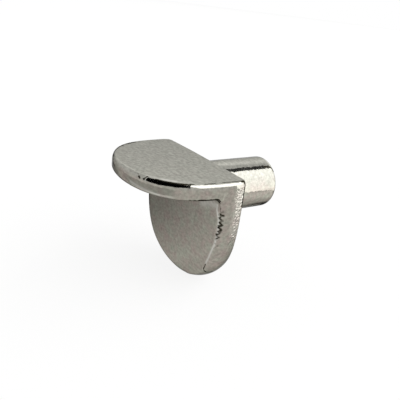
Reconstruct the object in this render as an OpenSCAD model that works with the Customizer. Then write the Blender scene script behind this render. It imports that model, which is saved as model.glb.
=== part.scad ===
// Shelf support pin: one die-cast piece with three working parts. A round pin plugs into a
// drilled hole in the cabinet side, a flat plate carries the shelf, and a tongue below the
// plate bears on the cabinet side so that the pin can't tip out of its hole.
//
// The origin is on the pin's axis, in the wall face where the pin leaves the casting. +Y runs
// along the pin towards its tip, +X across the width and +Z up, so the shelf lies on the top.

/* [Pin] */
// Diameter of the pin, a push fit in a 5 mm shelf hole
pin_d = 5; // [4:0.1:6]
// Length of the pin beyond the wall face
pin_length = 7.5; // [5:0.1:12]
// Rounding of the pin's end
pin_end_r = 0.7; // [0.2:0.05:1.2]

/* [Both plates] */
// Width of the shelf plate and of the tongue, across the pin
plate_width = 13; // [11:0.1:16]
// Height of the shelf plate's top above the pin's axis
top_height = 3; // [2.6:0.1:4]
// Radius of the fillet in the corner between the two
corner_r = 0.7; // [0.4:0.05:1.2]

/* [Shelf plate] */
// Reach of the shelf plate from the wall face to its front
shelf_reach = 8.3; // [6:0.1:12]
// Thickness of the shelf plate
shelf_thickness = 1.4; // [1.1:0.05:2.2]
// Fullness of the plate's outline: 2 makes it an ellipse, and more fills its corners
shelf_fullness = 3.5; // [2.4:0.1:6]
// Radius of the arc that blunts the rim's upper edge
shelf_top_r = 0.65; // [0.3:0.05:0.65]
// Height of that arc that the flat top cuts off, which leaves a crisp line round the top
shelf_top_cut = 0.12; // [0:0.02:0.2]
// Rounding of the rim's lower edge
shelf_under_r = 0.35; // [0.1:0.05:0.45]

/* [Tongue] */
// Height of the tongue, from the top of the shelf plate to its lower end
tongue_drop = 11; // [9:0.1:15]
// Thickness of the tongue
tongue_thickness = 2.2; // [1.6:0.05:3]
// Fullness of the tongue's outline: 2 makes it an ellipse, and more fills its corners
tongue_fullness = 4.4; // [2.4:0.1:6]
// Height of the crown across the tongue's rim
rim_crown = 0.28; // [0.05:0.01:0.4]
// Rounding of the rim's edge at the inner face
inner_edge_r = 0.15; // [0.05:0.01:0.3]
// Rounding of the rim's edge at the wall face
wall_edge_r = 0.1; // [0.05:0.01:0.3]

/* [Hidden] */

half_width = plate_width / 2;
pin_r = pin_d / 2;

// Steps round an outline, across a crowned rim and round an edge
outline_steps = 44;
rim_steps = 6;
edge_steps = 4;

// Thickness of the slices that a plate is lofted through
slice = 0.01;

// How far one part of the casting is rooted in the next
root = 0.6;

// The shelf plate starts halfway through the tongue, a hair inside the tongue's crown there
shelf_start = tongue_thickness / 2;
shelf_ease = 0.02;

// Both plates have half a superellipse for an outline. Its end is at [0, reach] and its sides
// run back to y = 0. The turn goes from 0 on the +X side to 180 on the -X side.
function outline_point(reach, fullness, turn) =
    [half_width * cos(turn), reach * pow(sin(turn), 2 / fullness)];

// Unit normal of an outline at one of its points
function outline_normal(reach, fullness, p) =
    let (rise = [2 * p.x / pow(half_width, 2), fullness * pow(p.y / reach, fullness - 1) / reach])
    rise / norm(rise);

// Turn at which an outline is at a given distance from y = 0
function turn_at(reach, fullness, distance) = asin(pow(distance / reach, fullness / 2));

// An outline from its start outwards, set in along its normals
function plate_outline(reach, fullness, start, inset) =
    let (first = turn_at(reach, fullness, start))
    [for (step = [0:outline_steps])
        let (p = outline_point(reach, fullness, first + (180 - 2 * first) * step / outline_steps))
        p - inset * outline_normal(reach, fullness, p)];

// How far a rounded edge is set in, at a depth below the face that ends it. The face may cut off
// some of the round.
function edge_inset(depth, r, cut = 0) =
    depth + cut < r ? r - sqrt(r * r - pow(r - cut - depth, 2)) : 0;

// Turn of a rounded edge at one of its steps, from its side to the face that ends it
function edge_turn(step, r, cut = 0) = asin(1 - cut / r) * step / edge_steps;

// Depths at which a rounded edge is drawn
function edge_depths(r, cut = 0) =
    [for (step = [0:edge_steps]) r * (1 - sin(edge_turn(step, r, cut))) - cut];

// Depths at which a plate with two rounded edges is drawn, given the depths of each edge
function plate_depths(thickness, near_edge, far_edge) =
    concat(near_edge, [for (depth = far_edge) thickness - depth]);

// Inset of the shelf plate's rim at a depth below its top
function shelf_inset(depth) =
    edge_inset(depth, shelf_top_r, shelf_top_cut)
    + edge_inset(shelf_thickness - depth, shelf_under_r);

// The shelf plate's outline, from inside the tongue to its front
function shelf_outline(inset) =
    plate_outline(shelf_reach + shelf_ease, shelf_fullness, shelf_start, shelf_ease + inset);

// Inset of the tongue's crowned rim at a depth behind the wall face
function tongue_inset(depth) =
    rim_crown * pow(2 * depth / tongue_thickness - 1, 2)
    + edge_inset(depth, wall_edge_r)
    + edge_inset(tongue_thickness - depth, inner_edge_r);

// One of the tongue's upper corners, which carry on the blunt edge along the shelf plate's rim
function upper_corner(side, inset, steps) =
    [for (step = steps)
        let (turn = edge_turn(step, shelf_top_r, shelf_top_cut))
        [side * (half_width - inset - shelf_top_r * (1 - cos(turn))),
         shelf_top_r * (1 - sin(turn)) - shelf_top_cut]];

// The tongue's outline, closed along the top of the casting
function tongue_outline(inset) =
    concat(
        plate_outline(tongue_drop, tongue_fullness, shelf_top_r - shelf_top_cut, inset),
        upper_corner(-1, inset, [1:edge_steps]),
        upper_corner(1, inset, [edge_steps:-1:1]));

// One slice of a plate, drawn downwards from z = 0 with its outline towards -Y
module plate_slice(points) {
    translate([0, 0, -slice])
        linear_extrude(slice)
            mirror([0, 1])
                polygon(points);
}

// Flat plate under the shelf, with its rim rounded above and below
module shelf_plate() {
    travel = 1 - slice / shelf_thickness;
    upper_edge = edge_depths(shelf_top_r, shelf_top_cut);
    translate([0, 0, top_height])
        hull()
            for (depth = plate_depths(shelf_thickness, upper_edge, edge_depths(shelf_under_r)))
                translate([0, 0, -depth * travel])
                    plate_slice(shelf_outline(shelf_inset(depth)));
}

// Tongue that bears on the cabinet side, from the top of the casting down
module wall_tongue() {
    travel = 1 - slice / tongue_thickness;
    rounded = plate_depths(tongue_thickness, edge_depths(wall_edge_r), edge_depths(inner_edge_r));
    crowned = [for (step = [1:rim_steps - 1]) tongue_thickness * step / rim_steps];
    translate([0, 0, top_height])
        rotate([90, 0, 0])
            mirror([0, 0, 1])
                hull()
                    for (depth = concat(rounded, crowned))
                        translate([0, 0, -depth * travel])
                            plate_slice(tongue_outline(tongue_inset(depth)));
}

// Fillet in the inner corner, as wide as the tongue's inner face there
module corner_fillet() {
    width = plate_width - 2 * (rim_crown + inner_edge_r);
    translate([-width / 2, -tongue_thickness, top_height - shelf_thickness])
        rotate([90, 0, 90])
            linear_extrude(width)
                difference() {
                    translate([-corner_r, -corner_r])
                        square(corner_r + root);
                    translate([-corner_r, -corner_r])
                        circle(corner_r, $fn = 64);
                }
}

// Round pin with a rounded end, rooted in the tongue
module pin() {
    rotate([-90, 0, 0])
        rotate_extrude($fn = 96) {
            translate([0, -root])
                square([pin_r, root + pin_length - pin_end_r]);
            square([pin_r - pin_end_r, pin_length]);
            intersection() {
                square([pin_r, pin_length]);
                translate([pin_r - pin_end_r, pin_length - pin_end_r])
                    circle(pin_end_r, $fn = 64);
            }
        }
}

module shelf_pin() {
    color("silver")
        union() {
            wall_tongue();
            shelf_plate();
            corner_fillet();
            pin();
        }
}

shelf_pin();
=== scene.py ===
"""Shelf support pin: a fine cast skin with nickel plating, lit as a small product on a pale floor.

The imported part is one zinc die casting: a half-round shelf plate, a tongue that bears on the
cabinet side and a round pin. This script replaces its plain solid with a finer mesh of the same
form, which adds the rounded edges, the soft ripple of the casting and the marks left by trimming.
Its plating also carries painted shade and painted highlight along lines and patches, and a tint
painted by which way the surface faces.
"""
import itertools
import logging
import math
from dataclasses import dataclass, field
from enum import Enum
from typing import Dict, List, Sequence, Tuple

import bpy
import numpy as np
from mathutils import Matrix, Vector


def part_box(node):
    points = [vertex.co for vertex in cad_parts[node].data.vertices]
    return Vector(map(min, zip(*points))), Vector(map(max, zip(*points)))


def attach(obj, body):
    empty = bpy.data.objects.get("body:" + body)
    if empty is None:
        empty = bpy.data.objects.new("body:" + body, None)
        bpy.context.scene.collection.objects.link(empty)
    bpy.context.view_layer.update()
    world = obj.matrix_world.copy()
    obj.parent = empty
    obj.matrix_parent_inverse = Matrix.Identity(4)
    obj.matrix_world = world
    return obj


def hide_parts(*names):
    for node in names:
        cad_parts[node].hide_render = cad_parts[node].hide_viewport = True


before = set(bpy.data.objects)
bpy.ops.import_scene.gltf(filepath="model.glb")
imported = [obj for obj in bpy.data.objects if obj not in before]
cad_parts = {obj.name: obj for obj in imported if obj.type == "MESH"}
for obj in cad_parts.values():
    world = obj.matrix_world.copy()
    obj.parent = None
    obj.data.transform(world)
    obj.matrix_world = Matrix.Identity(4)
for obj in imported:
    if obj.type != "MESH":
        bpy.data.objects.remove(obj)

LOG = logging.getLogger("shelf_pin")
BODY = "root"
NODE = "shelf_pin"

# The form is worked out in millimetres and the scene is in metres.
MM = 0.001
TINY = 1e-12

Span = Tuple[float, float]
Colour = Tuple[float, float, float]
Point = Tuple[float, float, float]
Socket = bpy.types.NodeSocket
Value = float | Tuple[float, ...] | Socket

UNIT: Span = (0.0, 1.0)
WHITE: Tuple[float, ...] = (1.0, 1.0, 1.0, 1.0)
BLACK: Tuple[float, ...] = (0.0, 0.0, 0.0, 1.0)

# Settings of a surface without any gloss
MATT: Dict[str, float] = {"Roughness": 1.0, "Specular IOR Level": 0.0}


# ---- Helpers for forms given as signed distances: negative inside, zero on the surface ----

def round_and(a: np.ndarray, b: np.ndarray, radius: float | np.ndarray) -> np.ndarray:
    """Keep what two forms share, with the edge between them rounded.

    Args:
        a: Signed distance to the first form.
        b: Signed distance to the second form.
        radius: Radius of the edge.

    Returns:
        Signed distance to what both forms hold.
    """
    corner = np.hypot(np.maximum(a + radius, 0), np.maximum(b + radius, 0))
    return np.minimum(np.maximum(a, b), -radius) + corner


def round_or(a: np.ndarray, b: np.ndarray, radius: float) -> np.ndarray:
    """Join two forms, with a fillet in the corner between them.

    Args:
        a: Signed distance to the first form.
        b: Signed distance to the second form.
        radius: Radius of the fillet.

    Returns:
        Signed distance to both forms together.
    """
    return -round_and(-a, -b, radius)


def smooth_step(value: np.ndarray, start: float, end: float) -> np.ndarray:
    """Turn smoothly from 0 at start to 1 at end.

    Args:
        value: Values to turn.
        start: Value that gives 0.
        end: Value that gives 1.

    Returns:
        Numbers from 0 to 1.
    """
    share = np.clip((value - start) / (end - start), 0, 1)
    return share * share * (3 - 2 * share)


@dataclass(frozen=True)
class Outline:
    """Half a superellipse: straight sides that close over a full, rounded end."""

    half_width: float
    reach: float
    fullness: float
    rounds: int = 5
    deepest: float = 1.2

    def rise(self, points: np.ndarray) -> Tuple[np.ndarray, np.ndarray]:
        """Evaluate the outline's own formula, which is zero on the outline.

        Args:
            points: Points (across, along).

        Returns:
            The value at each point and its slope across and along.
        """
        across, along = points[:, 0], np.maximum(points[:, 1], 0) / self.reach
        value = (across / self.half_width) ** 2 + along ** self.fullness - 1
        slope_along = self.fullness * along ** (self.fullness - 1) / self.reach
        return value, np.stack([2 * across / self.half_width ** 2, slope_along], axis=1)

    def follow(self, turns: np.ndarray, insets: np.ndarray) -> np.ndarray:
        """Find points that lie a little inside the outline.

        Args:
            turns: Turns round the outline in degrees, 0 and 180 at its ends and 90 at its tip.
            insets: How far inside each point lies.

        Returns:
            The points (across, along).
        """
        angles = np.radians(turns)
        across = self.half_width * np.cos(angles)
        along = self.reach * np.sin(angles) ** (2 / self.fullness)
        points = np.stack([across, along], axis=1)
        slope = self.rise(points)[1]
        return points - insets[:, None] * slope / np.linalg.norm(slope, axis=1)[:, None]

    def distance(self, across: np.ndarray, along: np.ndarray) -> np.ndarray:
        """Measure how far points are from the outline, negative inside.

        Args:
            across: Place across the plate, from its middle.
            along: Place along the plate, from its start.

        Returns:
            Signed distances, in the common shape of the two arrays. Points further inside than
            the deepest distance are given that distance.
        """
        across, along = np.broadcast_arrays(np.abs(across), np.maximum(along, 0))
        points = np.stack([across.ravel(), along.ravel()], axis=1)
        value, slope = self.rise(points)
        rough = value / (np.linalg.norm(slope, axis=1) + TINY)
        result = np.full(len(points), -self.deepest)
        close = rough > -2 * self.deepest
        target = points[close]
        foot = target.copy()
        for _ in range(self.rounds):
            height, slope = self.rise(foot)
            length = np.linalg.norm(slope, axis=1) + TINY
            normal = slope / length[:, None]
            foot -= (height / length)[:, None] * normal
            tangent = np.stack([-normal[:, 1], normal[:, 0]], axis=1)
            foot += ((target - foot) * tangent).sum(axis=1)[:, None] * tangent
        size = np.linalg.norm(target - foot, axis=1)
        result[close] = np.maximum(np.where(value[close] < 0, -size, size), -self.deepest)
        return result.reshape(across.shape)


@dataclass(frozen=True)
class CastingForm:
    """The whole casting as one signed distance, in millimetres, in the part's own frame.

    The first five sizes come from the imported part's box. The others repeat its source, apart
    from those that are the skin's own: pin_root_r, crest_r, wall_r, far_wall_r and the soft inner
    edge, which holds where x is below soft_inner_span.
    """

    half_width: float
    top: float
    reach: float
    drop: float
    pin_length: float
    pin_r: float = 2.5
    pin_end_r: float = 0.7
    pin_root_r: float = 0.12
    pin_root: float = 0.6
    corner_r: float = 0.7
    shelf_thickness: float = 1.4
    shelf_fullness: float = 3.5
    shelf_ease: float = 0.02
    top_r: float = 0.65
    top_cut: float = 0.12
    crest_r: float = 0.03
    under_r: float = 0.35
    tongue_thickness: float = 2.2
    tongue_fullness: float = 4.4
    rim_crown: float = 0.28
    inner_r: float = 0.15
    soft_inner_r: float = 0.35
    soft_inner_span: Span = (3.0, 1.8)
    wall_r: float = 0.06
    far_wall_r: float = 0.45

    @classmethod
    def from_box(cls, low: Sequence[float], high: Sequence[float]) -> "CastingForm":
        """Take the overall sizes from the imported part's box.

        Args:
            low: Lowest corner of the box, in metres.
            high: Highest corner of the box, in metres.

        Returns:
            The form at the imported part's size.
        """
        return cls(
            half_width=high[0] / MM,
            top=high[2] / MM,
            reach=-low[1] / MM,
            drop=(high[2] - low[2]) / MM,
            pin_length=high[1] / MM,
        )

    def shelf(self) -> Outline:
        """Give the outline of the shelf plate, as it is before its rim is drawn in."""
        return Outline(self.half_width, self.reach + self.shelf_ease, self.shelf_fullness)

    def rim(self, x: np.ndarray, y: np.ndarray, z: np.ndarray, blend: np.ndarray) -> np.ndarray:
        """Measure the distance to the rim that runs round both plates.

        Args:
            x: Place across the part.
            y: Place along the pin.
            z: Height.
            blend: 1 where the shelf plate's rim holds and 0 where the tongue's does.

        Returns:
            Signed distance to the rim alone.
        """
        depth = -y
        tongue = Outline(self.half_width, self.drop, self.tongue_fullness)
        middle = self.tongue_thickness / 2
        from_middle = np.clip(depth / middle - 1, -1, 1)
        tongue_rim = tongue.distance(x, self.top - z) + self.rim_crown * from_middle ** 2
        wall_half = self.rim_crown * np.minimum(from_middle, 0) ** 2
        shelf_rim = self.shelf().distance(x, depth) + self.shelf_ease + wall_half
        upper = np.where(depth < self.tongue_thickness, np.minimum(shelf_rim, tongue_rim), shelf_rim)
        return blend * upper + (1 - blend) * tongue_rim

    def distance(self, x: np.ndarray, y: np.ndarray, z: np.ndarray) -> np.ndarray:
        """Measure how far points are from the casting's surface, negative inside.

        Args:
            x: Place across the part.
            y: Place along the pin.
            z: Height.

        Returns:
            Signed distance to the casting.
        """
        underside = self.top - self.shelf_thickness - z
        inner_face = -self.tongue_thickness - y
        blend = smooth_step(inner_face - underside, -self.corner_r, self.corner_r)
        soft = smooth_step(x, *self.soft_inner_span)
        inner_r = self.inner_r + (self.soft_inner_r - self.inner_r) * soft
        edge_r = blend * self.under_r + (1 - blend) * inner_r
        plates = round_and(self.rim(x, y, z, blend), z - self.top - self.top_cut, self.top_r)
        far = smooth_step(-x, 0.0, self.half_width) * smooth_step(z, 0.0, self.top)
        plates = round_and(plates, y, self.wall_r + (self.far_wall_r - self.wall_r) * far)
        plates = round_and(plates, z - self.top, self.crest_r)
        plates = round_and(plates, round_or(underside, inner_face, self.corner_r), edge_r)
        pin = round_and(np.hypot(x, z) - self.pin_r, y - self.pin_length, self.pin_end_r)
        pin = np.maximum(pin, -self.pin_root - y)
        return round_or(plates, pin, self.pin_root_r)


# ---- The skin: a mesh of quads drawn over a form ----

def graded_lines(stops: Sequence[Span], end: float) -> np.ndarray:
    """Lay out grid lines that are closer together in some stretches than in others.

    Args:
        stops: Start and spacing of each stretch, in order.
        end: End of the last stretch.

    Returns:
        Places of the lines.
    """
    starts = [stop[0] for stop in stops] + [end]
    lines = []
    for (start, spacing), finish in zip(stops, starts[1:]):
        steps = math.ceil((finish - start) / spacing)
        lines.append(np.linspace(start, finish, steps, endpoint=False))
    return np.concatenate(lines + [[end]])


@dataclass
class Skin:
    """Quads over the surface of a form, one vertex in each grid cell that the surface crosses."""

    form: CastingForm
    lines: Tuple[np.ndarray, np.ndarray, np.ndarray]
    rounds: int = 4
    probe: float = 0.002
    points: np.ndarray = field(default_factory=lambda: np.empty((0, 3)))
    normals: np.ndarray = field(default_factory=lambda: np.empty((0, 3)))
    quads: np.ndarray = field(default_factory=lambda: np.empty((0, 4), dtype=int))

    def draw(self) -> None:
        """Find the vertices and quads, then settle the vertices on the surface."""
        x, y, z = np.ix_(*self.lines)
        values = self.form.distance(x, y, z)
        inside = values < 0
        corners = list(itertools.product((0, 1), repeat=3))
        count = sum(self._shifted(inside, corner).astype(np.int8) for corner in corners)
        cells = np.argwhere((count > 0) & (count < len(corners)))
        index = np.full(count.shape, -1)
        index[tuple(cells.T)] = np.arange(len(cells))
        self.points = self._crossings(values, cells)
        self.quads = self._faces(inside, index)
        self._settle()

    @staticmethod
    def _shifted(grid: np.ndarray, corner: Sequence[int]) -> np.ndarray:
        """Return the values at one corner of every cell."""
        return grid[tuple(slice(c, c - 1 or None) for c in corner)]

    def _place(self, nodes: np.ndarray) -> np.ndarray:
        """Return the places of grid nodes given by their indices."""
        return np.stack([self.lines[axis][nodes[:, axis]] for axis in range(3)], axis=1)

    def _crossings(self, values: np.ndarray, cells: np.ndarray) -> np.ndarray:
        """Average the points where the surface crosses the edges of each cell.

        Args:
            values: Signed distances at the grid's nodes.
            cells: Indices of the cells that the surface crosses.

        Returns:
            One point for each cell.
        """
        total = np.zeros((len(cells), 3))
        count = np.zeros((len(cells), 1))
        for axis in range(3):
            for corner in itertools.product((0, 1), repeat=3):
                if corner[axis]:
                    continue
                start = cells + np.array(corner)
                end = start + np.eye(3, dtype=int)[axis]
                first, last = values[tuple(start.T)], values[tuple(end.T)]
                crosses = (first < 0) != (last < 0)
                share = np.where(crosses, first / np.where(crosses, first - last, 1), 0)[:, None]
                point = self._place(start) * (1 - share) + self._place(end) * share
                total += np.where(crosses[:, None], point, 0)
                count += crosses[:, None]
        return total / count

    @staticmethod
    def _faces(inside: np.ndarray, index: np.ndarray) -> np.ndarray:
        """Join the four cells round each grid edge that the surface crosses.

        Args:
            inside: True at grid nodes inside the form.
            index: Vertex of each cell.

        Returns:
            Quads that face outwards.
        """
        quads = []
        steps = np.eye(3, dtype=int)
        for axis in range(3):
            before = np.take(inside, range(inside.shape[axis] - 1), axis=axis)
            after = np.take(inside, range(1, inside.shape[axis]), axis=axis)
            edges = np.argwhere(before != after)
            leaves = before[tuple(edges.T)]
            second, third = steps[(axis + 1) % 3], steps[(axis + 2) % 3]
            ring = [edges - second - third, edges - third, edges, edges - second]
            quad = np.stack([index[tuple(cell.T)] for cell in ring], axis=1)
            quad[~leaves] = quad[~leaves][:, ::-1]
            quads.append(quad)
        return np.concatenate(quads)

    def _slope(self, points: np.ndarray) -> np.ndarray:
        """Work out how fast the form's distance grows along each axis.

        Args:
            points: Points to measure at.

        Returns:
            The slope at each point.
        """
        slope = np.empty_like(points)
        for axis in range(3):
            step = self.probe * np.eye(3)[axis]
            ahead, behind = (points + step).T, (points - step).T
            slope[:, axis] = self.form.distance(*ahead) - self.form.distance(*behind)
        return slope / (2 * self.probe)

    def _settle(self) -> None:
        """Move each vertex along the form's slope until it lies on the surface."""
        for _ in range(self.rounds):
            value = self.form.distance(*self.points.T)
            slope = self._slope(self.points)
            square = (slope ** 2).sum(axis=1)
            self.points = self.points - (value / square)[:, None] * slope
        self.normals = slope / np.sqrt(square)[:, None]

    def sink(self, depth: np.ndarray) -> None:
        """Press the surface in along its normals.

        Args:
            depth: How far each vertex goes in.
        """
        self.points = self.points - depth[:, None] * self.normals

    def mesh(self, name: str, layers: Dict[str, np.ndarray]) -> bpy.types.Mesh:
        """Make the Blender mesh, in metres, shaded smooth.

        Args:
            name: Name of the mesh.
            layers: A value at each vertex for each named attribute.

        Returns:
            The mesh.
        """
        mesh = bpy.data.meshes.new(name)
        mesh.from_pydata((self.points * MM).tolist(), [], self.quads.tolist())
        mesh.polygons.foreach_set("use_smooth", [True] * len(mesh.polygons))
        for label, values in layers.items():
            mesh.attributes.new(label, "FLOAT", "POINT").data.foreach_set("value", values)
        mesh.update()
        return mesh


# ---- Relief of the casting, worked into the skin, and lines of painted shade and painted highlight ----

@dataclass(frozen=True)
class Ripple:
    """A soft unevenness of a surface, made of seeded waves in many directions."""

    wavelength: float
    height: float
    seed: int
    waves: int = 28
    spread: Span = (0.7, 1.5)
    limit: float = 2.0

    def depth(self, points: np.ndarray) -> np.ndarray:
        """Work out how far the ripple goes in.

        Args:
            points: Points on the surface.

        Returns:
            A depth at each point, from 0 to the ripple's height.
        """
        draw = np.random.default_rng(self.seed)
        directions = draw.normal(size=(self.waves, 3))
        directions /= np.linalg.norm(directions, axis=1)[:, None]
        turns = 2 * math.pi / self.wavelength * draw.uniform(*self.spread, size=self.waves)
        phases = draw.uniform(0, 2 * math.pi, size=self.waves)
        waves = np.sin(points @ (directions * turns[:, None]).T + phases)
        level = waves.sum(axis=1) / math.sqrt(self.waves / 2)
        return self.height * np.clip((level / self.limit + 1) / 2, 0, 1)


class Layer(Enum):
    """Mesh attributes that carry a strength from 0 to 1 for the finish: painted shade, painted highlight
    and the burr's relief.
    """

    # Painted shade: dark lines that stand in for shadow and dark reflections
    PAINTED_SHADE = "painted_shade"
    CHATTER = "chatter"
    # Painted highlight: lighter plating along edges and patches
    PAINTED_HIGHLIGHT = "painted_highlight"


@dataclass(frozen=True)
class Mark:
    """A narrow mark along a route: pressed into the skin, and noted in a layer of the finish that paints
    shade or highlight along it or roughens it.
    """

    layer: Layer
    route: Tuple[Point, ...]
    width: float
    depth: float = 0.0
    strength: float = 1.0

    def reach(self, points: np.ndarray) -> np.ndarray:
        """Work out how strongly points are marked.

        Args:
            points: Points on the surface.

        Returns:
            A number at each point, from 0 to the mark's strength.
        """
        nearest = np.full(len(points), np.inf)
        corners = np.array(self.route)
        for start, end in zip(corners, corners[1:]):
            along = end - start
            share = np.clip((points - start) @ along / (along @ along), 0, 1)
            gap = np.linalg.norm(points - start - share[:, None] * along, axis=1)
            nearest = np.minimum(nearest, gap)
        return self.strength * np.exp(-(nearest / (self.width / 2)) ** 2)


@dataclass(frozen=True)
class RimMark:
    """A mark that follows the shelf plate's rim.

    Its turn round the rim is 0 at the wall face on the right, 90 at the tip and 180 on the left.
    Turns, heights and insets are given for its start and its end.
    """

    layer: Layer
    turns: Span
    heights: Span
    insets: Span
    width: float
    depth: float = 0.0
    strength: float = 1.0
    step: float = 4.0

    def lay_on(self, form: CastingForm) -> Mark:
        """Lay the mark round the rim of a form.

        Args:
            form: The casting's form.

        Returns:
            The mark, with its route in the part's own frame.
        """
        count = 2 + int(abs(self.turns[1] - self.turns[0]) / self.step)
        ends = (self.turns, self.heights, self.insets)
        turns, heights, insets = (np.linspace(*pair, count) for pair in ends)
        points = form.shelf().follow(turns, insets)
        route = tuple((float(x), -float(along), float(z)) for (x, along), z in zip(points, heights))
        return Mark(self.layer, route, self.width, self.depth, self.strength)


@dataclass(frozen=True)
class TrimMarks:
    """Short slanting nicks that trimming the flash has left along an edge, pressed in and painted dark with
    painted shade.
    """

    route: Tuple[Point, ...]
    spacing: float = 0.2
    length: float = 0.5
    width: float = 0.24
    depth: float = 0.08
    seed: int = 12
    slant: Point = (1.0, 1.0, 0.0)
    place_spread: Span = (-0.3, 0.3)
    length_spread: Span = (0.4, 1.0)
    strength_spread: Span = (0.55, 1.0)
    width_spread: Span = (0.75, 1.3)
    fade: float = 0.75
    fade_span: Span = (0.45, 1.0)

    def marks(self) -> List[Mark]:
        """Run the nicks to and fro along the route, with seeded unevenness.

        Returns:
            The nicks from the top down, weaker towards the lower end.
        """
        draw = np.random.default_rng(self.seed)
        corners = np.array(self.route)
        stations = np.cumsum([0.0, *np.linalg.norm(np.diff(corners, axis=0), axis=1)])
        places = np.arange(0, stations[-1], self.spacing)
        count = len(places)
        places = places + draw.uniform(*self.place_spread, size=count) * self.spacing
        middles = np.stack([np.interp(places, stations, line) for line in corners.T], axis=1)
        side = np.where(np.arange(count) % 2, -1, 1)
        swing = side / 2 * draw.uniform(*self.length_spread, size=count) * self.length
        turns = middles + swing[:, None] * np.array(self.slant) / np.linalg.norm(self.slant)
        fades = 1 - self.fade * smooth_step(places / stations[-1], *self.fade_span)
        fades = fades * draw.uniform(*self.strength_spread, size=count)
        widths = self.width * draw.uniform(*self.width_spread, size=count)
        rows = zip(turns.tolist(), turns[1:].tolist(), widths.tolist(), fades.tolist())
        return [
            Mark(Layer.PAINTED_SHADE, (tuple(start), tuple(end)), width, self.depth * fade, fade)
            for start, end, width, fade in rows
        ]


TRIM_ROUTE: Tuple[Point, ...] = (
    (6.2, -2.12, 0.5),
    (6.21, -2.1, -0.9),
    (6.1, -2.12, -2.1),
    (5.95, -2.15, -3.2),
)

MARKS: Tuple[Mark, ...] = (
    # Hook of a cold flow, where the edge of the tongue turns soft: a shallow groove with painted shade
    # along it
    Mark(Layer.PAINTED_SHADE, ((5.12, -2.2, -4.95), (4.93, -2.19, -5.45), (4.85, -1.97, -5.87)), 0.15, 0.03),
    Mark(Layer.PAINTED_SHADE, ((4.85, -1.97, -5.87), (4.82, -1.65, -6.08), (4.95, -1.2, -6.0)), 0.15, 0.03),
    # Painted shade in the corner that the rim's lower edge runs into
    Mark(Layer.PAINTED_SHADE, ((5.86, -2.4, 1.44), (6.03, -2.3, 1.3)), 0.2),
    Mark(
        Layer.PAINTED_SHADE,
        ((5.85, -2.3, 1.25), (5.98, -2.2, 0.95), (6.09, -2.2, 0.78), (6.16, -2.2, 0.4)),
        0.12,
        strength=0.7,
    ),
    # Painted shade where the top meets the wall face, down beside that face and on the tongue's far edge
    Mark(Layer.PAINTED_SHADE, ((6.13, -0.46, 3.0), (6.12, -0.2, 2.95)), 0.26),
    Mark(
        Layer.PAINTED_SHADE, ((6.15, -0.14, 2.93), (6.27, -0.1, 2.7), (6.3, -0.09, 2.0), (6.26, -0.09, 0.8)), 0.28
    ),
    Mark(Layer.PAINTED_SHADE, ((-5.62, -2.2, -2.5), (-5.6, -2.2, -3.0), (-5.45, -2.2, -3.6)), 0.3, strength=0.7),
    # Painted shade on the rounded end of the pin
    Mark(
        Layer.PAINTED_SHADE,
        ((1.42, 6.2, 2.06), (1.5, 6.85, 2.0), (1.62, 7.1, 1.85), (1.78, 7.15, 1.68)),
        0.24,
        strength=0.95,
    ),
    Mark(Layer.PAINTED_SHADE, ((0.4, 7.14, 2.4), (0.9, 7.17, 2.22), (1.35, 7.16, 2.0)), 0.22, strength=0.6),
    # Painted highlight: the tongue's inner edge, a soft patch beside it and the corner at the wall face
    Mark(
        Layer.PAINTED_HIGHLIGHT,
        ((5.6, -2.22, 0.9), (5.68, -2.2, 0.4), (6.05, -2.2, -0.3), (6.1, -2.2, -1.6), (5.95, -2.2, -2.6)),
        0.22,
    ),
    Mark(Layer.PAINTED_HIGHLIGHT, ((3.4, -2.2, 0.15), (4.6, -2.2, 0.6), (5.4, -2.2, 0.8)), 0.6, strength=0.5),
    Mark(Layer.PAINTED_HIGHLIGHT, ((5.95, -2.2, -2.6), (5.7, -2.2, -3.3), (5.4, -2.2, -4.2), (5.15, -2.2, -4.8)), 0.2),
    Mark(Layer.PAINTED_HIGHLIGHT, ((6.2, -0.3, 2.6), (6.3, -0.2, 2.0), (6.28, -0.25, 1.1)), 0.16),
    # Burr left rough beside the wall face, with a painted highlight over it
    Mark(Layer.PAINTED_HIGHLIGHT, ((6.45, -0.6, 2.2), (6.42, -0.55, 0.0), (6.35, -0.5, -1.8)), 0.9, strength=0.35),
    Mark(Layer.CHATTER, ((6.42, -0.6, 2.0), (6.42, -0.6, 0.0), (6.32, -0.55, -2.6)), 1.0),
)

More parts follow.
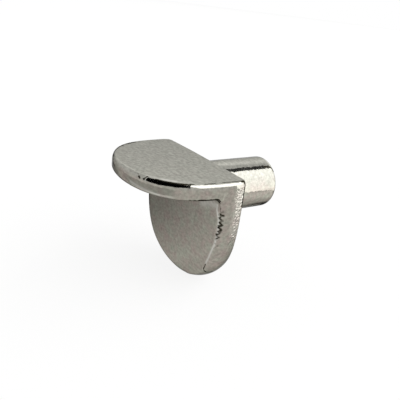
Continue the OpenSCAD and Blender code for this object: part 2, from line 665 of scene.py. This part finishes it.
RIM_MARKS: Tuple[RimMark, ...] = (
    # Painted shade along the rim's lower edge, and in the fold where it meets the tongue
    RimMark(Layer.PAINTED_SHADE, (25.5, 19.0), (1.74, 1.74), (0.08, 0.08), 0.3, strength=0.6),
    RimMark(Layer.PAINTED_SHADE, (19.0, 8.3), (1.74, 1.7), (0.08, 0.08), 0.3, strength=0.9),
    RimMark(Layer.PAINTED_SHADE, (6.4, 5.1), (1.75, 2.15), (0.08, 0.03), 0.28, strength=0.14),
    RimMark(Layer.PAINTED_SHADE, (112.0, 75.0), (1.86, 1.65), (0.02, 0.16), 0.22, strength=0.5),
    # Painted shade round the far side: up over the rim's face, then along the edge of the top
    RimMark(Layer.PAINTED_SHADE, (117.0, 112.0), (2.5, 1.86), (0.03, 0.03), 0.26, strength=0.55),
    RimMark(Layer.PAINTED_SHADE, (104.0, 114.0), (2.35, 2.72), (0.02, 0.07), 0.26, strength=0.65),
    RimMark(Layer.PAINTED_SHADE, (114.0, 128.0), (2.74, 2.95), (0.07, 0.22), 0.26, strength=0.65),
    RimMark(Layer.PAINTED_SHADE, (128.0, 152.0), (2.96, 3.0), (0.22, 0.45), 0.3, strength=0.65),
    RimMark(Layer.PAINTED_SHADE, (152.0, 161.5), (3.0, 3.0), (0.45, 0.48), 0.3, strength=0.65),
    # Broken painted shade along the near edge of the top, a nick drawn in painted shade, and where it
    # starts a raised ridge with a painted highlight
    RimMark(Layer.PAINTED_SHADE, (79.0, 69.0), (2.88, 2.93), (0.14, 0.18), 0.2, strength=0.5),
    RimMark(Layer.PAINTED_SHADE, (68.0, 66.7), (2.8, 2.7), (0.1, 0.08), 0.22, strength=0.8),
    RimMark(Layer.PAINTED_SHADE, (62.2, 61.0), (2.75, 2.94), (0.07, 0.26), 0.2),
    RimMark(Layer.PAINTED_HIGHLIGHT, (60.8, 60.3), (2.68, 2.87), (0.08, 0.19), 0.14, -0.03),
    RimMark(Layer.PAINTED_SHADE, (53.6, 41.0), (2.97, 2.97), (0.25, 0.26), 0.14),
    RimMark(Layer.PAINTED_SHADE, (41.0, 26.0), (2.96, 2.96), (0.26, 0.26), 0.19),
    RimMark(Layer.PAINTED_SHADE, (26.0, 23.2), (2.99, 3.0), (0.3, 0.32), 0.16, strength=0.9),
    RimMark(Layer.PAINTED_SHADE, (16.0, 9.7), (3.0, 3.0), (0.36, 0.44), 0.16, strength=0.85),
    RimMark(Layer.PAINTED_SHADE, (6.2, 0.6), (3.0, 3.0), (0.48, 0.4), 0.15, strength=0.85),
    # Painted highlight: the rim's lower edge, its upper edge and the border of the top inside it
    RimMark(Layer.PAINTED_HIGHLIGHT, (76.0, 48.0), (2.08, 1.83), (0.02, 0.06), 0.2, strength=0.85),
    RimMark(Layer.PAINTED_HIGHLIGHT, (48.0, 37.7), (1.83, 1.82), (0.06, 0.05), 0.2, strength=0.4),
    RimMark(Layer.PAINTED_HIGHLIGHT, (25.5, 0.5), (2.89, 2.88), (0.16, 0.2), 0.26, strength=0.5),
    RimMark(Layer.PAINTED_HIGHLIGHT, (62.0, 48.0), (3.0, 3.0), (0.42, 0.54), 0.3, strength=0.45),
    RimMark(Layer.PAINTED_HIGHLIGHT, (48.0, 37.0), (3.0, 3.0), (0.54, 0.6), 0.32),
    RimMark(Layer.PAINTED_HIGHLIGHT, (37.0, 25.5), (3.0, 3.0), (0.6, 0.74), 0.28, strength=0.45),
)


@dataclass
class ShelfPin:
    """The casting: its fine skin and the relief worked into it.

    The stops give the start and spacing of the skin's lines in each stretch, in millimetres.
    """

    form: CastingForm
    name: str = "shelf_pin_casting"
    x_stops: Tuple[Span, ...] = ((-6.62, 0.075), (-5.4, 0.17), (1.4, 0.1), (4.7, 0.056))
    y_stops: Tuple[Span, ...] = ((-8.41, 0.07), (-4.2, 0.1), (-2.6, 0.056), (0.15, 0.18), (6.7, 0.09))
    z_stops: Tuple[Span, ...] = ((-8.12, 0.08), (-7.2, 0.11), (-3.6, 0.066), (0.8, 0.06), (2.62, 0.035))
    far_corner: Point = (6.62, 7.6, 3.1)
    ripples: Tuple[Ripple, ...] = (Ripple(1.7, 0.006, 3), Ripple(0.5, 0.003, 5))
    burr: Ripple = Ripple(0.27, 0.055, 7, spread=(0.45, 1.9))
    marks: Tuple[Mark, ...] = MARKS
    rim_marks: Tuple[RimMark, ...] = RIM_MARKS
    trim: TrimMarks = TrimMarks(TRIM_ROUTE)

    def build(self) -> bpy.types.Object:
        """Draw the skin, press the relief into it and make the object.

        Returns:
            The casting, riding on the part's body in place of its plain solid.
        """
        stops = (self.x_stops, self.y_stops, self.z_stops)
        lines = tuple(graded_lines(stop, end) for stop, end in zip(stops, self.far_corner))
        skin = Skin(self.form, lines)
        skin.draw()
        layers = {layer.value: np.zeros(len(skin.points)) for layer in Layer}
        depth = sum(ripple.depth(skin.points) for ripple in self.ripples)
        rim_marks = [mark.lay_on(self.form) for mark in self.rim_marks]
        for mark in (*self.marks, *rim_marks, *self.trim.marks()):
            reach = mark.reach(skin.points)
            layers[mark.layer.value] = np.maximum(layers[mark.layer.value], reach)
            depth = depth + mark.depth * reach
        depth = depth + layers[Layer.CHATTER.value] * self.burr.depth(skin.points)
        skin.sink(depth)
        casting = bpy.data.objects.new(self.name, skin.mesh(self.name, layers))
        bpy.context.collection.objects.link(casting)
        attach(casting, BODY)
        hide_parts(NODE)
        return casting


# ---- Shader nodes, and the node group that more than one material uses ----

@dataclass(frozen=True)
class Nodes:
    """A node tree, with short ways of adding nodes to it."""

    tree: bpy.types.NodeTree

    def feed(self, node: bpy.types.Node, values: Dict[str | int, Value]) -> None:
        """Set or link inputs of a node.

        Args:
            node: The node.
            values: A value to set or an output to link, for each input's name or place.
        """
        for key, value in values.items():
            if isinstance(value, Socket):
                self.tree.links.new(value, node.inputs[key])
            else:
                node.inputs[key].default_value = value

    def add(
        self, kind: str, values: Dict[str | int, Value] | None = None, **settings: object
    ) -> bpy.types.Node:
        """Add a node.

        Args:
            kind: Type of the node.
            values: A value to set or an output to link, for each input's name or place.
            settings: Properties of the node.

        Returns:
            The node.
        """
        node = self.tree.nodes.new(kind)
        for name, setting in settings.items():
            setattr(node, name, setting)
        self.feed(node, values or {})
        return node

    def mixed(
        self, factor: Socket, first: Colour | Socket, second: Colour | Socket, blend: str = "MIX"
    ) -> Socket:
        """Mix two colours by a varying factor.

        Args:
            factor: Share of the second colour.
            first: A colour, or an output that gives one.
            second: A colour, or an output that gives one.
            blend: How the second colour is laid over the first.

        Returns:
            The mixed colour.
        """
        mix = self.add("ShaderNodeMix", {"Factor": factor}, data_type="RGBA", blend_type=blend)
        for label, colour in (("A", first), ("B", second)):
            place = next(i for i, s in enumerate(mix.inputs) if s.name == label and s.type == "RGBA")
            self.feed(mix, {place: (*colour, 1.0) if isinstance(colour, tuple) else colour})
        return next(output for output in mix.outputs if output.type == "RGBA")

    def ranged(self, value: Socket, source: Span, target: Span) -> Socket:
        """Carry a value from one range to another.

        Args:
            value: The value.
            source: Start and end of its own range.
            target: Start and end of the new range.

        Returns:
            The value in the new range, kept within it.
        """
        limits = dict(zip(("From Min", "From Max", "To Min", "To Max"), (*source, *target)))
        return self.add("ShaderNodeMapRange", {"Value": value, **limits}).outputs["Result"]

    def combined(self, operation: str, first: Socket, second: Socket) -> Socket:
        """Return two values combined by a math operation."""
        return self.add("ShaderNodeMath", {0: first, 1: second}, operation=operation).outputs["Value"]

    def layer(self, layer: Layer) -> Socket:
        """Return the value of one of the mesh's layers."""
        return self.add("ShaderNodeAttribute", attribute_name=layer.value).outputs["Fac"]

    def seen_directly(self) -> Socket:
        """Tell what is seen from what lights the object.

        Returns:
            1 for the camera, a reflection or a refraction, and 0 for soft light.
        """
        path = self.add("ShaderNodeLightPath").outputs
        seen = self.combined("MAXIMUM", path["Is Camera Ray"], path["Is Glossy Ray"])
        return self.combined("MAXIMUM", seen, path["Is Transmission Ray"])


@dataclass(frozen=True)
class GrainGroup:
    """Fine cloudy grain: a height for bump and a tone for colour, both from 0 to 1."""

    name: str = "fine_grain"
    height_detail: float = 1.0
    tone_detail: float = 2.0
    roughness: float = 0.6
    middle: float = 0.5

    def build(self) -> bpy.types.ShaderNodeTree:
        """Make the node group, or return it if it is there.

        Returns:
            The group, with inputs Fine Scale, Cloud Scale, Contrast and Stretch.
        """
        if self.name in bpy.data.node_groups:
            return bpy.data.node_groups[self.name]
        tree = bpy.data.node_groups.new(self.name, "ShaderNodeTree")
        for label in ("Fine Scale", "Cloud Scale", "Contrast"):
            socket = tree.interface.new_socket(label, in_out="INPUT", socket_type="NodeSocketFloat")
            socket.default_value = 1.0
        stretch = tree.interface.new_socket("Stretch", in_out="INPUT", socket_type="NodeSocketVector")
        stretch.default_value = (1.0, 1.0, 1.0)
        for label in ("Height", "Tone"):
            tree.interface.new_socket(label, in_out="OUTPUT", socket_type="NodeSocketFloat")
        nodes = Nodes(tree)
        given = nodes.add("NodeGroupInput").outputs
        place = nodes.add("ShaderNodeTexCoord").outputs["Object"]
        stretched = nodes.add("ShaderNodeVectorMath", {0: place, 1: given["Stretch"]}, operation="DIVIDE")
        results = {}
        for label, scale, detail in (
            ("Height", "Fine Scale", self.height_detail),
            ("Tone", "Cloud Scale", self.tone_detail),
        ):
            noise = nodes.add("ShaderNodeTexNoise", {
                "Vector": stretched.outputs["Vector"],
                "Scale": given[scale],
                "Detail": detail,
                "Roughness": self.roughness,
            })
            centred = nodes.add(
                "ShaderNodeMath", {0: noise.outputs["Fac"], 1: self.middle}, operation="SUBTRACT"
            )
            results[label] = nodes.add(
                "ShaderNodeMath",
                {0: centred.outputs["Value"], 1: given["Contrast"], 2: self.middle},
                operation="MULTIPLY_ADD",
                use_clamp=True,
            ).outputs["Value"]
        nodes.add("NodeGroupOutput", results)
        return tree


@dataclass(frozen=True)
class Grain:
    """Settings of one use of the fine grain."""

    fine_scale: float
    cloud_scale: float
    contrast: float = 1.0
    stretch: Point = (1.0, 1.0, 1.0)

    def build(self, nodes: Nodes) -> bpy.types.NodeOutputs:
        """Add the grain group to a node tree.

        Args:
            nodes: The tree's nodes.

        Returns:
            The group's outputs, Height and Tone.
        """
        node = nodes.add("ShaderNodeGroup", node_tree=GrainGroup().build())
        nodes.feed(node, {
            "Fine Scale": self.fine_scale,
            "Cloud Scale": self.cloud_scale,
            "Contrast": self.contrast,
            "Stretch": self.stretch,
        })
        return node.outputs


# ---- Finishes ----

def new_material(name: str) -> Tuple[bpy.types.Material, Nodes, bpy.types.Node]:
    """Make a material.

    Args:
        name: Its name.

    Returns:
        The material, its nodes and its Principled shader.
    """
    material = bpy.data.materials.new(name)
    material.use_nodes = True
    tree = material.node_tree
    return material, Nodes(tree), tree.nodes["Principled BSDF"]


@dataclass(frozen=True)
class NickelFinish:
    """Bright nickel plating over the fine grain of a zinc casting."""

    name: str = "nickel_plate"
    light: Colour = (0.425, 0.423, 0.38)
    dark: Colour = (0.236, 0.235, 0.211)
    olive: Colour = (0.94, 0.95, 0.88)
    rosy: Colour = (0.95, 0.81, 0.8)
    # Painted reflection tint, by which way the surface faces: how much shows, from facing up to facing
    # sideways
    painted_tint_slope: Span = (0.0, 0.6)
    painted_tint_share: Span = (0.9, 0.1)
    # Colour of the painted highlight
    painted_sheen: Colour = (0.52, 0.51, 0.47)
    # Colour of the painted shade, and how it is broken up, edged and roughened
    painted_dark: Colour = (0.03, 0.027, 0.018)
    painted_dark_break: Span = (-0.25, 0.25)
    painted_dark_edge: Span = (0.35, 0.7)
    painted_dark_roughness: float = 0.4
    gloss_tones: Span = (0.2, 0.8)
    roughness: Span = (0.05, 0.11)
    edge_tint: Colour = (0.4, 0.4, 0.4)
    grain: Grain = Grain(4000.0, 4400.0, 1.6, (1.6, 1.2, 1.0))
    patches: Grain = Grain(5600.0, 1250.0, 2.8, (1.3, 1.1, 1.0))
    bump_distance: float = 6e-6
    chatter_distance: float = 3.2e-5

    def build(self) -> bpy.types.Material:
        """Make the material.

        Returns:
            The nickel material.
        """
        material, nodes, shader = new_material(self.name)
        grain, patches = self.grain.build(nodes), self.patches.build(nodes)

        # Painted shade lies along the marks, dark lines that stand in for shadow and dark reflections,
        # broken up by the grain
        broken = nodes.ranged(grain["Height"], UNIT, self.painted_dark_break)
        painted_dark = nodes.combined("ADD", nodes.layer(Layer.PAINTED_SHADE), broken)
        painted_dark = nodes.ranged(painted_dark, self.painted_dark_edge, UNIT)

        # Painted reflection tint: an olive and rosy tint that shows more on sides and undersides than on
        # top, by which way the surface faces
        normal = nodes.add("ShaderNodeTexCoord").outputs["Normal"]
        slope = nodes.add("ShaderNodeSeparateXYZ", {"Vector": normal}).outputs["Z"]
        share = nodes.ranged(slope, self.painted_tint_slope, self.painted_tint_share)
        tint = nodes.mixed(patches["Tone"], self.olive, self.rosy)
        metal = nodes.mixed(grain["Tone"], self.dark, self.light)
        painted_tint_metal = nodes.mixed(share, metal, tint, "MULTIPLY")
        # Painted highlight along its marks
        painted_sheen = nodes.mixed(nodes.layer(Layer.PAINTED_HIGHLIGHT), painted_tint_metal, self.painted_sheen)

        # The relief is the grain's, and rougher where the burr is
        fine = nodes.add("ShaderNodeBump", {"Distance": self.bump_distance, "Height": grain["Height"]})
        relief = nodes.add("ShaderNodeBump", {
            "Strength": nodes.layer(Layer.CHATTER),
            "Distance": self.chatter_distance,
            "Height": patches["Height"],
            "Normal": fine.outputs["Normal"],
        })
        gloss = nodes.ranged(patches["Tone"], self.gloss_tones, self.roughness)
        dull = nodes.ranged(painted_dark, UNIT, (0.0, self.painted_dark_roughness))
        nodes.feed(shader, {
            "Base Color": nodes.mixed(painted_dark, painted_sheen, self.painted_dark),
            "Metallic": 1.0,
            "Roughness": nodes.combined("MAXIMUM", gloss, dull),
            "Specular Tint": nodes.mixed(painted_dark, self.edge_tint, self.painted_dark),
            "Normal": relief.outputs["Normal"],
        })
        return material


@dataclass(frozen=True)
class FloorFinish:
    """Pale matt floor, which looks white to the eye and keeps a soft shadow."""

    name: str = "pale_floor"
    light: Colour = (0.87, 0.87, 0.865)
    dark: Colour = (0.85, 0.85, 0.845)
    grain: Grain = Grain(400.0, 400.0)
    white_share: float = 0.85

    def build(self) -> bpy.types.Material:
        """Make the material.

        Returns:
            The floor's material.
        """
        material, nodes, shader = new_material(self.name)
        colour = nodes.mixed(self.grain.build(nodes)["Tone"], self.dark, self.light)
        nodes.feed(shader, {"Base Color": colour, **MATT})
        white = nodes.add("ShaderNodeEmission", {"Strength": 1.0})
        share = nodes.ranged(nodes.seen_directly(), UNIT, (0.0, self.white_share))
        shaders = {0: share, 1: shader.outputs["BSDF"], 2: white.outputs["Emission"]}
        both = nodes.add("ShaderNodeMixShader", shaders)
        nodes.feed(nodes.tree.nodes["Material Output"], {"Surface": both.outputs["Shader"]})
        return material


@dataclass(frozen=True)
class ClothFinish:
    """Black cloth of a studio flag."""

    name: str = "black_cloth"
    colour: Colour = (0.002, 0.002, 0.002)

    def build(self) -> bpy.types.Material:
        """Make the material.

        Returns:
            The cloth's material.
        """
        material, nodes, shader = new_material(self.name)
        nodes.feed(shader, {"Base Color": (*self.colour, 1.0), **MATT})
        return material


@dataclass(frozen=True)
class CardFinish:
    """Card, or sheet of painted floor reflection, of an even brightness, which can fade to white towards
    its border.
    """

    brightness: float
    fade: float = 0.0
    name: str = "card"

    def build(self) -> bpy.types.Material:
        """Make the material.

        Returns:
            The card's material.
        """
        material, nodes, shader = new_material(self.name)
        level = self.brightness
        if self.fade:
            place = nodes.add("ShaderNodeTexCoord").outputs["Generated"]
            from_middle = {0: place, 1: (2.0, 2.0, 0.0), 2: (-1.0, -1.0, 0.0)}
            centred = nodes.add("ShaderNodeVectorMath", from_middle, operation="MULTIPLY_ADD")
            length = nodes.add("ShaderNodeVectorMath", {0: centred.outputs["Vector"]}, operation="LENGTH")
            level = nodes.ranged(length.outputs["Value"], (1.0 - self.fade, 1.0), (self.brightness, 1.0))
        nodes.feed(shader, {
            "Base Color": BLACK,
            "Specular IOR Level": 0.0,
            "Emission Color": WHITE,
            "Emission Strength": level,
        })
        return material


# ---- Studio ----

class PanelKind(Enum):
    """What a panel round the object does."""

    LAMP = "lamp"
    FLAG = "flag"
    CARD = "card"


def rectangle(width: float, height: float) -> List[Span]:
    """Return the corners of a rectangle round the origin, anticlockwise."""
    return [(x * width / 2, y * height / 2) for x, y in ((-1, -1), (1, -1), (1, 1), (-1, 1))]


def sheet(
    name: str, outline: Sequence[Span], material: bpy.types.Material, reflected_only: bool = True
) -> bpy.types.Object:
    """Make a flat sheet.

    Args:
        name: Name of the object.
        outline: Its corners, in metres, anticlockwise.
        material: Its material.
        reflected_only: Whether it shows in reflections alone, and takes and gives no light.

    Returns:
        The sheet, kept out of the part.
    """
    mesh = bpy.data.meshes.new(name)
    mesh.from_pydata([(x, y, 0.0) for x, y in outline], [], [tuple(range(len(outline)))])
    mesh.materials.append(material)
    piece = bpy.data.objects.new(name, mesh)
    piece.visible_camera = piece.visible_diffuse = piece.visible_shadow = not reflected_only
    bpy.context.collection.objects.link(piece)
    return piece


def aimed(azimuth: float, elevation: float, roll: float) -> Tuple[Vector, Vector, Vector]:
    """Work out the axes of something that faces the part.

    Args:
        azimuth: Direction to it in degrees, 0 in front of the part and 90 on its right.
        elevation: How high it stands, in degrees.
        roll: How far it is rolled, in degrees.

    Returns:
        Unit vectors to its right, up and away from the part.
    """
    turn, rise, lean = (math.radians(angle) for angle in (azimuth, elevation, roll))
    away = Vector((math.sin(turn) * math.cos(rise), -math.cos(turn) * math.cos(rise), math.sin(rise)))
    side = Vector((math.cos(turn), math.sin(turn), 0.0))
    above = away.cross(side)
    right = side * math.cos(lean) + above * math.sin(lean)
    return right, above * math.cos(lean) - side * math.sin(lean), away


def stand(piece: bpy.types.Object, place: Vector, axes: Sequence[Vector]) -> None:
    """Stand an object at a place, turned to a set of axes."""
    piece.matrix_world = Matrix.Translation(place) @ Matrix(axes).transposed().to_4x4()


@dataclass(frozen=True)
class Panel:
    """A flat panel that faces the object, placed by the direction it is seen in.

    Width, height and corners are given at a distance of one, so that they are the panel's
    apparent size. A panel with corners of its own has no width or height.
    """

    name: str
    kind: PanelKind
    azimuth: float
    elevation: float
    roll: float = 0.0
    width: float = 0.0
    height: float = 0.0
    corners: Tuple[Span, ...] = ()
    distance: float = 0.6
    brightness: float = 0.0
    fade: float = 0.0

    def build(self) -> bpy.types.Object:
        """Make the panel.

        Returns:
            The lamp, flag or card.
        """
        width, height = self.width * self.distance, self.height * self.distance
        if self.kind is PanelKind.LAMP:
            lamp = bpy.data.lights.new(self.name, "AREA")
            lamp.shape = "RECTANGLE"
            lamp.size, lamp.size_y = width, height
            lamp.energy = self.brightness * math.pi * width * height
            panel = bpy.data.objects.new(self.name, lamp)
            bpy.context.collection.objects.link(panel)
            panel.visible_camera = False
        else:
            is_card = self.kind is PanelKind.CARD
            finish = CardFinish(self.brightness, self.fade) if is_card else ClothFinish()
            outline = [(x * self.distance, y * self.distance) for x, y in self.corners]
            panel = sheet(self.name, outline or rectangle(width, height), finish.build())
        axes = aimed(self.azimuth, self.elevation, self.roll)
        stand(panel, axes[2] * self.distance, axes)
        return panel


@dataclass(frozen=True)
class PaintedFloorReflection:
    """A sheet just above the floor beside the object, seen only in reflections, that paints a darker or
    brighter floor into them: painted shade or painted light in reflections. Sizes are in millimetres.
    """

    name: str
    middle: Span
    size: Span
    brightness: float
    fade: float = 0.6
    lift: float = 0.05

    def build(self, floor_height: float) -> bpy.types.Object:
        """Make the sheet.

        Args:
            floor_height: Height of the floor, in metres.

        Returns:
            The sheet.
        """
        finish = CardFinish(self.brightness, self.fade)
        floor_reflection_sheet = sheet(self.name, rectangle(self.size[0] * MM, self.size[1] * MM), finish.build())
        floor_reflection_sheet.location = (self.middle[0] * MM, self.middle[1] * MM, floor_height + self.lift * MM)
        return floor_reflection_sheet


@dataclass(frozen=True)
class View:
    """The camera: where it stands as seen from the part's origin, and how it frames the part.

    Its distance and offsets are in millimetres, its focal length in pixels of a square picture.
    """

    azimuth: float = 53.96
    elevation: float = 22.01
    roll: float = 7.22
    distance: float = 45.23
    offset_right: float = 0.07
    offset_up: float = 1.13
    focal_pixels: float = 483.2
    picture_pixels: float = 400.0
    sensor: float = 36.0
    nearest: float = 0.001
    farthest: float = 50.0

    def build(self) -> bpy.types.Object:
        """Make the camera and set it as the scene's.

        Returns:
            The camera.
        """
        lens = bpy.data.cameras.new("camera")
        lens.sensor_width = self.sensor
        lens.lens = self.focal_pixels / self.picture_pixels * self.sensor
        lens.clip_start, lens.clip_end = self.nearest, self.farthest
        camera = bpy.data.objects.new("camera", lens)
        bpy.context.collection.objects.link(camera)
        right, up, back = aimed(self.azimuth, self.elevation, self.roll)
        place = (back * self.distance - right * self.offset_right - up * self.offset_up) * MM
        stand(camera, place, (right, up, back))
        bpy.context.scene.camera = camera
        return camera


@dataclass
class Studio:
    """Floor, soft lamps, flags and camera round the part."""

    floor_height: float
    soft_light: float = 0.8
    floor_size: float = 16.0
    panels: Tuple[Panel, ...] = (
        Panel(
            "softbox", PanelKind.LAMP, azimuth=150.6, elevation=41.2, roll=60.9,
            width=0.84, height=2.07, distance=6.0, brightness=2.0,
        ),
        Panel(
            "back_card", PanelKind.CARD, azimuth=232.0, elevation=25.0,
            width=3.0, height=1.1, brightness=1.68, fade=0.45,
        ),
        Panel(
            "bounce_card", PanelKind.CARD, azimuth=166.0, elevation=6.3,
            width=1.9, height=0.85, distance=0.026, brightness=2.8,
        ),
        Panel(
            "front_flag", PanelKind.FLAG, azimuth=14.0, elevation=50.0,
            corners=(
                (-0.72, -0.92), (0.04, -0.82), (0.3, -0.58), (0.6, -0.46),
                (1.14, -0.08), (0.45, 0.68), (-0.42, 0.68),
            ),
        ),
        Panel(
            "gap_flag", PanelKind.CARD, azimuth=176.0, elevation=55.0,
            width=0.24, height=0.4, brightness=0.07,
        ),
    )
    # Sheets seen only in reflections: painted shade of a darker floor, and one of painted light of a
    # brighter floor
    painted_floor_reflections: Tuple[PaintedFloorReflection, ...] = (
        PaintedFloorReflection("left_painted_reflection", middle=(-20.5, -5.0), size=(40.0, 34.0), brightness=0.48),
        PaintedFloorReflection("front_painted_reflection", middle=(0.0, -31.0), size=(72.0, 24.0), brightness=0.67, fade=0.35),
        PaintedFloorReflection("back_painted_reflection", middle=(-14.0, 26.0), size=(34.0, 20.0), brightness=0.1),
        PaintedFloorReflection("pin_painted_reflection", middle=(-4.0, 11.5), size=(14.0, 9.0), brightness=0.12, fade=0.4),
        PaintedFloorReflection("light_painted_reflection", middle=(12.0, 16.0), size=(20.0, 22.0), brightness=1.4),
    )

    def build(self) -> None:
        """Make everything that isn't the object."""
        scene = bpy.context.scene
        scene.view_settings.view_transform = "Standard"
        self._world(scene)
        outline = rectangle(self.floor_size, self.floor_size)
        floor = sheet("floor", outline, FloorFinish().build(), reflected_only=False)
        floor.location.z = self.floor_height
        for panel in self.panels:
            panel.build()
        for floor_reflection_sheet in self.painted_floor_reflections:
            floor_reflection_sheet.build(self.floor_height)
        LOG.info("studio with %d panels and %d gauzes", len(self.panels), len(self.painted_floor_reflections))
        View().build()

    def _world(self, scene: bpy.types.Scene) -> None:
        """Give the scene a plain white world, a little weaker as a light than to the eye.

        Args:
            scene: The scene.
        """
        scene.world = bpy.data.worlds.new("studio")
        scene.world.use_nodes = True
        nodes = Nodes(scene.world.node_tree)
        level = nodes.ranged(nodes.seen_directly(), UNIT, (self.soft_light, 1.0))
        nodes.feed(nodes.tree.nodes["Background"], {"Color": WHITE, "Strength": level})


def main() -> None:
    """Build the part and the studio, and log how many faces the casting has."""
    logging.basicConfig(level=logging.INFO, format="%(name)s: %(message)s")
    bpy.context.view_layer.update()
    low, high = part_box(NODE)
    casting = ShelfPin(CastingForm.from_box(low, high)).build()
    casting.data.materials.append(NickelFinish().build())
    LOG.info("casting %s with %d faces", casting.name, len(casting.data.polygons))
    Studio(floor_height=low[2]).build()


if __name__ == "__main__":
    main()
